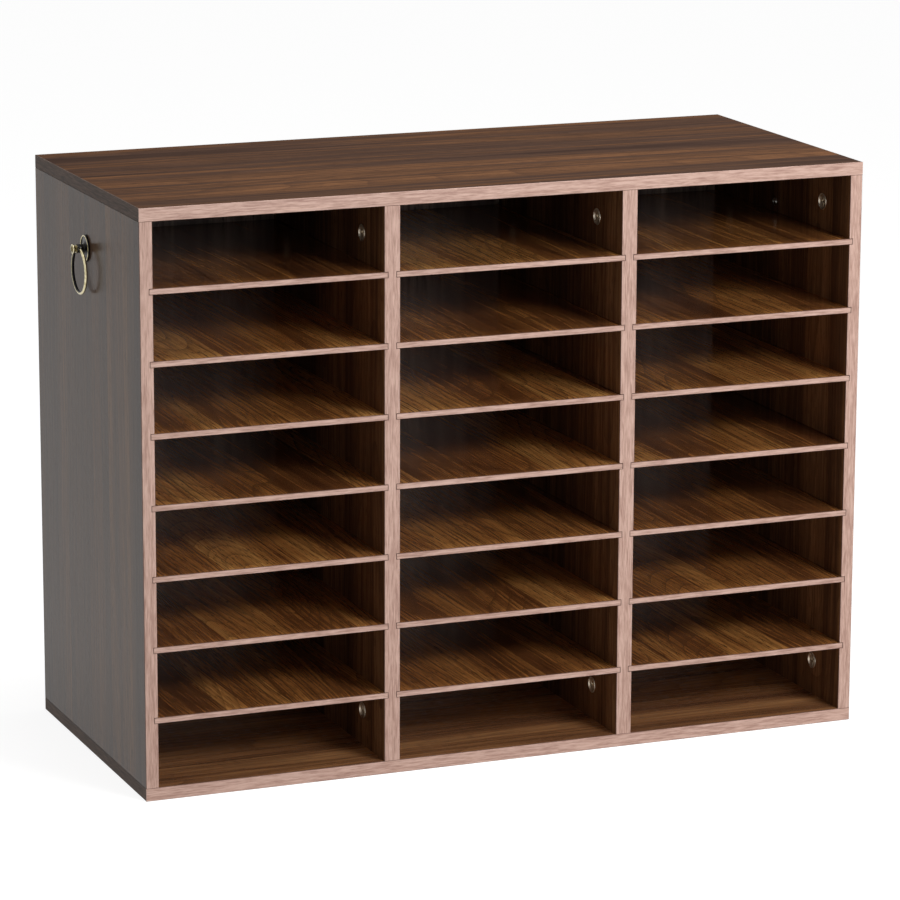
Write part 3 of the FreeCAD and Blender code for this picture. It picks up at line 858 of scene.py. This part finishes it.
for face, way in ((-inner_face, 1), (-divider_right, -1), (divider_left, -1), (inner_face, -1)):
    for row in (-cam_row, cam_row):
        for height, roll in ((low_cam, 0), (high_cam, math.pi)):
            select_only(cam)
            bpy.ops.object.duplicate(linked=False)
            copy = bpy.context.active_object
            turn = Matrix.Rotation(0 if way > 0 else math.pi, 4, "Z") @ Matrix.Rotation(roll, 4, "X")
            there = Matrix.Translation(Vector((face, row, height)))
            copy.matrix_world = there @ turn @ Matrix.Translation(-cam_face)
            bpy.ops.object.transform_apply(location=True, rotation=True, scale=True)
            copies.append(copy)
bpy.data.objects.remove(cam)
bpy.ops.object.select_all(action="DESELECT")
for copy in copies:
    copy.select_set(True)
bpy.context.view_layer.objects.active = copies[0]
bpy.ops.object.join()
cams = bpy.context.active_object
cams.name = "cam_locks"
settle(cams)
hang(cams, cam_zinc, "cabinet", "cam_zinc", "cam_discs")

# %% [markdown]
# The room: a pale floor that keeps the shadow under the case, white all round
# for the camera and for reflections, and soft light at a plain level. The main
# soft box stands high to the front right. It lights the front half of each
# shelf, while the shelf above and the wall at the right shade the rest. A
# weaker box low in front reaches the back of the slots, and one overhead lights
# the top board.

# %% Floor, room and light
floor_glow = 0.86
floor_bounce, floor_shown = grey(0.62), grey(0.42)
room_light = 0.26
bpy.ops.object.select_all(action="DESELECT")
bpy.ops.mesh.primitive_plane_add(size=40.0, location=(0, 0, 0))
floor = bpy.context.active_object
floor.name = "studio_floor"


def seen_or_mirrored(tree):
    """1 for what the camera sees, straight or in a mirror or glass. 0 for light on its way to the case."""
    rays = tree.nodes.new("ShaderNodeLightPath").outputs
    mirrored = calc(tree, "MAXIMUM", rays["Is Glossy Ray"], rays["Is Transmission Ray"])
    return calc(tree, "MAXIMUM", rays["Is Camera Ray"], mirrored)


pale_floor, tree, shader = start_finish(
    "studio_floor_white", Roughness=0.9, Specular_IOR_Level=0.0, Emission_Color=grey(1.0)
)
seen = seen_or_mirrored(tree)
feed(
    tree, shader,
    Base_Color=stain(tree, seen, floor_bounce, floor_shown),
    Emission_Strength=calc(tree, "MULTIPLY", seen, floor_glow),
)
floor.data.materials.append(pale_floor)

room = bpy.data.worlds.new("studio_room")
bpy.context.scene.world = room
room.use_nodes = True
tree = room.node_tree
tree.nodes.clear()
strength = calc(tree, "MULTIPLY_ADD", seen_or_mirrored(tree), 1.0 - room_light, room_light)
sky = add(tree, "Background", {"Color": grey(1.0), "Strength": strength})
tree.links.new(sky, tree.nodes.new("ShaderNodeOutputWorld").inputs["Surface"])


def soft_box(name, place, aim_at, width, height, watts):
    """A rectangular lamp that looks at one point of the case."""
    lamp = bpy.data.lights.new(name, "AREA")
    lamp.shape = "RECTANGLE"
    lamp.size = width
    lamp.size_y = height
    lamp.energy = watts
    box = bpy.data.objects.new(name, lamp)
    bpy.context.scene.collection.objects.link(box)
    box.location = place
    box.rotation_euler = (Vector(aim_at) - Vector(place)).to_track_quat("-Z", "Y").to_euler()
    print(name, "gives", watts, "watts from", round(Vector(place).length, 2), "m")


soft_box("front_right_box", (1.0, -2.1, 1.42), (0, 0, 0.3), width=1.0, height=0.45, watts=34.0)
soft_box("low_front_box", (0.5, -3.2, 0.28), (0, 0, 0.3), width=1.4, height=0.5, watts=22.0)
soft_box("overhead_box", (0.2, -0.3, 2.4), (0, 0, 0.5), width=1.2, height=1.0, watts=19.0)
